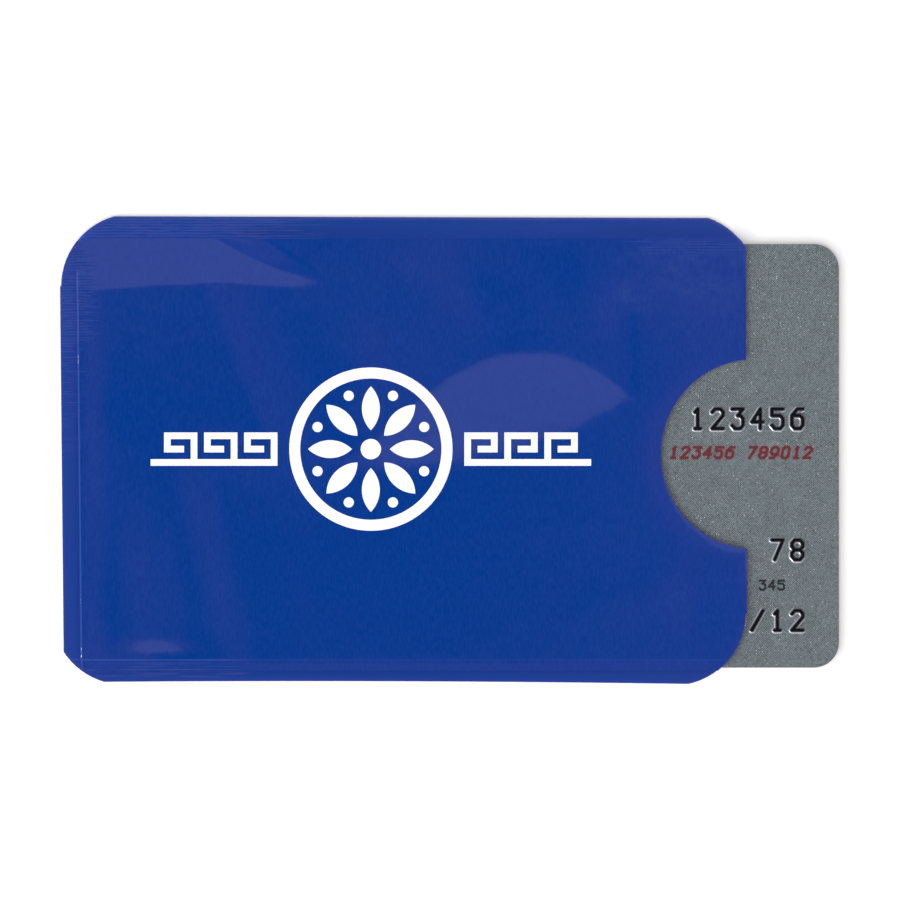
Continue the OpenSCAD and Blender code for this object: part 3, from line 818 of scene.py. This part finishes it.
def card_material():
    """Silver-grey print of the card: a fine diagonal screen, soft mottling and small flakes painted white as
    their glints.
    """
    material, tree, shader = node_material("card_silver_print")
    place, (x, y, z) = object_mm(tree)
    screen = printed_screen(tree, x, y)
    mottle = noise(tree, place, 7.0, 2, 0.7)
    cloudy = noise(tree, place, 0.4, 3)
    tone = plus(tree, times(tree, screen, 0.90), 1.0)
    tone = plus(tree, tone, smooth_range(tree, mottle, 0.25, 0.75, -0.70, 0.70))
    tone = plus(tree, tone, smooth_range(tree, cloudy, 0.2, 0.8, -0.07, 0.07))
    grey = shaded(tree, CARD_GREY, maths(tree, "MAXIMUM", tone, 0.15))
    cells = tree.nodes.new("ShaderNodeTexVoronoi")
    cells.inputs["Scale"].default_value = FLAKE_CELLS
    tree.links.new(place, cells.inputs["Vector"])
    parts = tree.nodes.new("ShaderNodeSeparateColor")
    tree.links.new(cells.outputs["Color"], parts.inputs["Color"])
    # Flakes of the print, painted white as their glints
    chosen = smooth_range(tree, parts.outputs[0], 0.965, 1.0)
    small = smooth_range(tree, cells.outputs["Distance"], 0.25, 0.45, 1.0, 0.0)
    flake_glint = times(tree, chosen, small)
    colour = mixed_colour(tree, times(tree, flake_glint, 0.9), grey, FLAKE_GLINT_WHITE)
    rise = smooth_range(tree, z, CARD_TOP_Z + 0.005, CARD_TOP_Z + 0.06)
    colour = mixed_colour(tree, times(tree, rise, 0.9), colour, RAISED_GREY)
    tree.links.new(colour, shader.inputs["Base Color"])
    tree.links.new(times(tree, rise, 0.9), shader.inputs["Metallic"])
    rough = smooth_range(tree, mottle, 0.2, 0.8, 0.26, 0.36)
    rough = maths(tree, "SUBTRACT", rough, times(tree, rise, 0.09))
    tree.links.new(rough, shader.inputs["Roughness"])
    bumped(tree, shader, mottle, 0.004)
    return material


def tipping_material():
    """Black foil on the crests of the embossing, a little scuffed."""
    material, tree, shader = node_material("black_tipping_foil")
    place, _ = object_mm(tree)
    scuff = noise(tree, place, 4.0, 3, 0.7)
    scuffed = smooth_range(tree, scuff, 0.62, 0.78, 0.0, 0.25)
    colour = mixed_colour(tree, scuffed, TIPPING_BLACK, SCUFF_GREY)
    tree.links.new(colour, shader.inputs["Base Color"])
    tree.links.new(smooth_range(tree, scuff, 0.3, 0.8, 0.20, 0.36), shader.inputs["Roughness"])
    shader.inputs["Specular IOR Level"].default_value = 0.10
    bumped(tree, shader, scuff, 0.006)
    return material


def print_material(name, colour, screen_share):
    """Offset print on the card: the card's grey shows through in a fine diagonal screen."""
    material, tree, shader = node_material(name)
    place, (x, y, _) = object_mm(tree)
    mottle = noise(tree, place, 5.5, 2, 0.7)
    tone = plus(tree, times(tree, printed_screen(tree, x, y), 0.35), mottle)
    share = smooth_range(tree, tone, 0.35, 0.95, 0.0, screen_share)
    tree.links.new(mixed_colour(tree, share, colour, CARD_GREY), shader.inputs["Base Color"])
    shader.inputs["Roughness"].default_value = 0.42
    shader.inputs["Specular IOR Level"].default_value = 0.3
    bumped(tree, shader, mottle, 0.002)
    return material


def make_materials():
    """All the object's materials, by the record's slots."""
    return {
        "blue_film": film_material(),
        "foil": plain_finish("bright_foil", FOIL_SILVER, 0.18, 0.08, 4.0, metallic=1.0),
        "liner": plain_finish("satin_liner", (0.60, 0.61, 0.62), 0.45, 0.06, 3.0),
        "seal": plain_finish("melted_seal", (0.55, 0.57, 0.62), 0.40, 0.08, 3.0),
        "white_ink": plain_finish("white_screen_ink", (0.955, 0.955, 0.955), 0.50, 0.01, 5.0),
        "card_overlay": card_material(),
        "card_core": plain_finish("white_core", (0.50, 0.51, 0.52), 0.5, 0.06, 3.0),
        "inlay": plain_finish("inlay_sheet", (0.70, 0.70, 0.70), 0.5, 0.05, 3.0),
        "antenna": plain_finish("etched_copper", (0.72, 0.37, 0.20), 0.3, 0.12, 4.0, metallic=1.0),
        "chip": plain_finish("chip_resin", (0.03, 0.03, 0.03), 0.55, 0.15, 5.0),
        "stripe": plain_finish("magnetic_stripe_coat", (0.010, 0.010, 0.012), 0.28, 0.2, 2.0),
        "signature": plain_finish("signature_coat", (0.80, 0.80, 0.78), 0.75, 0.04, 6.0),
        "black_tipping": tipping_material(),
        "red_ink": print_material("red_print", (0.140, 0.008, 0.014), 0.15),
        "dark_ink": print_material("dark_print", (0.006, 0.008, 0.011), 0.08),
    }


def dress_cad_nodes(materials):
    """Gives every CAD node its slot and that slot's material."""
    slots = {part["node"]: part["material_slot"] for part in frame["record"]["subparts"]}
    for name, node in frame["nodes"].items():
        node.data.materials.clear()
        node.data.materials.append(materials[slots[name]])


def build_sleeve(materials):
    """The front panel's three layers and the white print on it."""
    outline = cap_loops("back_print_film")[0]
    plan, triangles = front_plan(outline, FILM_STEP)
    film = panel_piece("front_film", plan, triangles, outline, 0.0, FILM_DEPTH)
    dressed(film, "sleeve", ["front_print_film"], materials["blue_film"])
    plan, triangles = front_plan(outline, LAYER_STEP)
    foil = panel_piece("front_foil", plan, triangles, outline, FILM_DEPTH, FOIL_DEPTH)
    dressed(foil, "sleeve", ["front_shield_foil"], materials["foil"])
    liner = panel_piece("front_liner", plan, triangles, outline, FOIL_DEPTH, LINER_DEPTH)
    dressed(liner, "sleeve", ["front_inner_liner"], materials["liner"])
    for name, node in (("rosette_ink", "front_rosette_print"), ("key_bands_ink", "front_key_bands_print")):
        loops = [in_short_steps(loop, INK_STEP) for loop in cap_loops(node)]
        low, high = box_mm(node)
        points = grid_points(low[0], high[0], INK_STEP, low[1], high[1], INK_STEP)
        starts = np.concatenate(loops)
        ends = np.concatenate([np.roll(loop, -1, 0) for loop in loops])
        points = points[distance_to(points, starts, ends) > INK_CLEARANCE]
        plan, triangles = filled(loops, (), points)
        base = front_height(plan[:, 0], plan[:, 1], 0.0)
        ink = closed_sheet(name, plan, triangles, base + INK_T, base - INK_T / 4)
        dressed(ink, "sleeve", [node], materials["white_ink"])


def build_card_face(materials):
    """The card's front overlay with its embossing, and the black foil on the embossing's crests."""
    outline = cap_loops("card_front_overlay")[0]
    segments = {node: row_segments(node) for node in EMBOSSED_ROWS}
    starts = np.concatenate([s for s, _ in segments.values()])
    ends = np.concatenate([e for _, e in segments.values()])
    points = grid_points(CARD_LOW[0], CARD_HIGH[0], CARD_STEP, CARD_LOW[1], CARD_HIGH[1], CARD_STEP)
    points = points[distance_to(points, starts, ends) > STROKE_CLEARANCE]
    points = points[distance_to(points, outline, np.roll(outline, -1, 0)) > RIM_CLEARANCE]
    relief = [near_strokes(s, e, RELIEF_STEP, FOOT_HALF + PAST_FOOT) for s, e in segments.values()]
    plan, triangles = filled([outline], (), np.concatenate([points, *relief]))
    rise = emboss_rise(distance_to(plan, starts, ends))
    face = closed_sheet("card_face", plan, triangles, CARD_TOP_Z + rise, np.full(len(plan), CARD_LOW[2]))
    dressed(face, "card", ["card_front_overlay"], materials["card_overlay"])
    surface = np.column_stack([plan, CARD_TOP_Z + rise + TIPPING_LIFT])
    for node, (starts, ends) in segments.items():
        distance = distance_to(plan, starts, ends)
        crests, crest_triangles = clipped(surface, triangles, distance, TIPPING_HALF)
        base = crests[:, 2]
        name = node.replace("embossed", "tipping")
        tipping = closed_sheet(name, crests[:, :2], crest_triangles, base + TIPPING_T, base - TIPPING_T)
        dressed(tipping, "card", [node], materials["black_tipping"])


# The studio, by how far a direction leans from straight up: sideways over upwards. The dark patch over the
# camera turns violet between two leans from its middle, the ring and the panel fade in between two more
PATCH_MIDDLE = (-0.012, -0.005)
PATCH_LEANS = (0.006, 0.081)
PATCH_DARK = (0.015, 0.020, 0.030)
PATCH_VIOLET = (0.39, 0.13, 0.21)
PANEL_STARTS = (0.041, 0.049)
PANEL_WHITE = (0.84, 0.84, 0.86)
RING_STARTS = (0.16, 0.42)

# Radiance of the studio's ring and of its walls below it, and how much brighter the lower left is
RING_LEVEL = 1.25
WALL_LEVEL = 0.60
RING_LEAN = 0.75
COS_45 = 0.707

# The floor: its side in metres, how far below the object it lies in millimetres, its colour, and the light
# of its own that lifts it to white for the camera
FLOOR_SIDE = 6
FLOOR_GAP = 0.02
FLOOR_WHITE = (0.9, 0.9, 0.9)
FLOOR_GLOW = 0.12

# The camera's sensor width in millimetres
SENSOR_WIDTH = 36

# The key lamp's place and side in metres, and its radiance
KEY_PLACE = (-0.50, -0.50, 0.50)
KEY_SIDE = 0.09
KEY_RADIANCE = 32.0


def area_lamp(name, place, size, radiance):
    """Square soft lamp that looks at the middle of the object."""
    lamp = bpy.data.lights.new(name, "AREA")
    lamp.shape = "SQUARE"
    lamp.size = size
    lamp.energy = radiance * size * size * math.pi
    made = bpy.data.objects.new(name, lamp)
    made.location = place
    made.rotation_euler = (-Vector(place)).to_track_quat("-Z", "Y").to_euler()
    bpy.context.scene.collection.objects.link(made)


def make_world():
    """Pale studio: a soft white ring all round that is brightest high up and towards the lower left, a
    dark patch over the camera, and a white panel beside the camera towards +Y."""
    world = bpy.data.worlds.new("studio")
    bpy.context.scene.world = world
    world.use_nodes = True
    tree = world.node_tree
    tree.nodes.clear()
    output = tree.nodes.new("ShaderNodeOutputWorld")
    background = tree.nodes.new("ShaderNodeBackground")
    tree.links.new(background.outputs[0], output.inputs["Surface"])
    parts = tree.nodes.new("ShaderNodeSeparateXYZ")
    tree.links.new(tree.nodes.new("ShaderNodeTexCoord").outputs["Generated"], parts.inputs[0])
    height = maths(tree, "MAXIMUM", parts.outputs[2], 0.02)
    u = maths(tree, "DIVIDE", parts.outputs[0], height)
    v = maths(tree, "DIVIDE", parts.outputs[1], height)
    squares = plus(tree, times(tree, u, u), times(tree, v, v))
    lean = maths(tree, "SQRT", maths(tree, "MAXIMUM", squares, 1e-8))
    off_u = plus(tree, u, -PATCH_MIDDLE[0])
    off_v = plus(tree, v, -PATCH_MIDDLE[1])
    off_squares = plus(tree, times(tree, off_u, off_u), times(tree, off_v, off_v))
    off_lean = maths(tree, "SQRT", off_squares)
    colour = mixed_colour(tree, smooth_range(tree, off_lean, *PATCH_LEANS), PATCH_DARK, PATCH_VIOLET)
    towards = maths(tree, "DIVIDE", plus(tree, u, v), lean)
    ring = plus(tree, times(tree, towards, -COS_45 * RING_LEAN), 1.0)
    ring = times(tree, ring, smooth_range(tree, lean, 1.3, 2.6, RING_LEVEL, WALL_LEVEL))
    colour = mixed_colour(tree, smooth_range(tree, lean, *RING_STARTS), colour, shaded(tree, (1, 1, 1), ring))
    panel = times(tree, smooth_range(tree, v, *PANEL_STARTS), smooth_range(tree, v, 0.75, 0.5))
    panel = times(tree, panel, smooth_range(tree, maths(tree, "ABSOLUTE", u), 0.9, 0.7))
    colour = mixed_colour(tree, panel, colour, PANEL_WHITE)
    seen = tree.nodes.new("ShaderNodeLightPath").outputs["Is Camera Ray"]
    tree.links.new(mixed_colour(tree, seen, colour, (1.0, 1.0, 1.0)), background.inputs["Color"])


def make_floor():
    """Plain white floor that keeps the object's shadow."""
    bpy.ops.mesh.primitive_plane_add(size=FLOOR_SIDE, location=(0, 0, -FLOOR_GAP * MM))
    floor = bpy.context.object
    floor.name = "floor"
    material = bpy.data.materials.new("floor_white")
    material.use_nodes = True
    tree = material.node_tree
    tree.nodes.clear()
    output = tree.nodes.new("ShaderNodeOutputMaterial")
    diffuse = tree.nodes.new("ShaderNodeBsdfDiffuse")
    diffuse.inputs["Color"].default_value = (*FLOOR_WHITE, 1)
    glow = tree.nodes.new("ShaderNodeEmission")
    path = tree.nodes.new("ShaderNodeLightPath")
    seen = maths(tree, "MAXIMUM", path.outputs["Is Camera Ray"], path.outputs["Is Glossy Ray"])
    seen = maths(tree, "MAXIMUM", seen, path.outputs["Is Transmission Ray"])
    tree.links.new(times(tree, seen, FLOOR_GLOW), glow.inputs["Strength"])
    both = tree.nodes.new("ShaderNodeAddShader")
    tree.links.new(diffuse.outputs[0], both.inputs[0])
    tree.links.new(glow.outputs[0], both.inputs[1])
    tree.links.new(both.outputs[0], output.inputs["Surface"])
    floor.data.materials.append(material)


def make_camera():
    """Long lens that looks straight down and sees the photograph's field."""
    camera = bpy.data.cameras.new("camera")
    camera.sensor_width = SENSOR_WIDTH
    camera.lens = SENSOR_WIDTH * CAMERA_HEIGHT / (IMAGE_SIDE * MM_PER_PIXEL)
    camera.clip_start = 0.1
    camera.clip_end = 20
    made = bpy.data.objects.new("camera", camera)
    x, y = photo_point(IMAGE_SIDE / 2, IMAGE_SIDE / 2)
    made.location = (x * MM, y * MM, CAMERA_HEIGHT * MM)
    bpy.context.scene.collection.objects.link(made)
    bpy.context.scene.camera = made


bpy.context.scene.view_settings.view_transform = "Standard"
make_camera()
make_world()
make_floor()
area_lamp("key_lamp", KEY_PLACE, KEY_SIDE, KEY_RADIANCE)
materials = make_materials()
dress_cad_nodes(materials)
build_sleeve(materials)
build_card_face(materials)
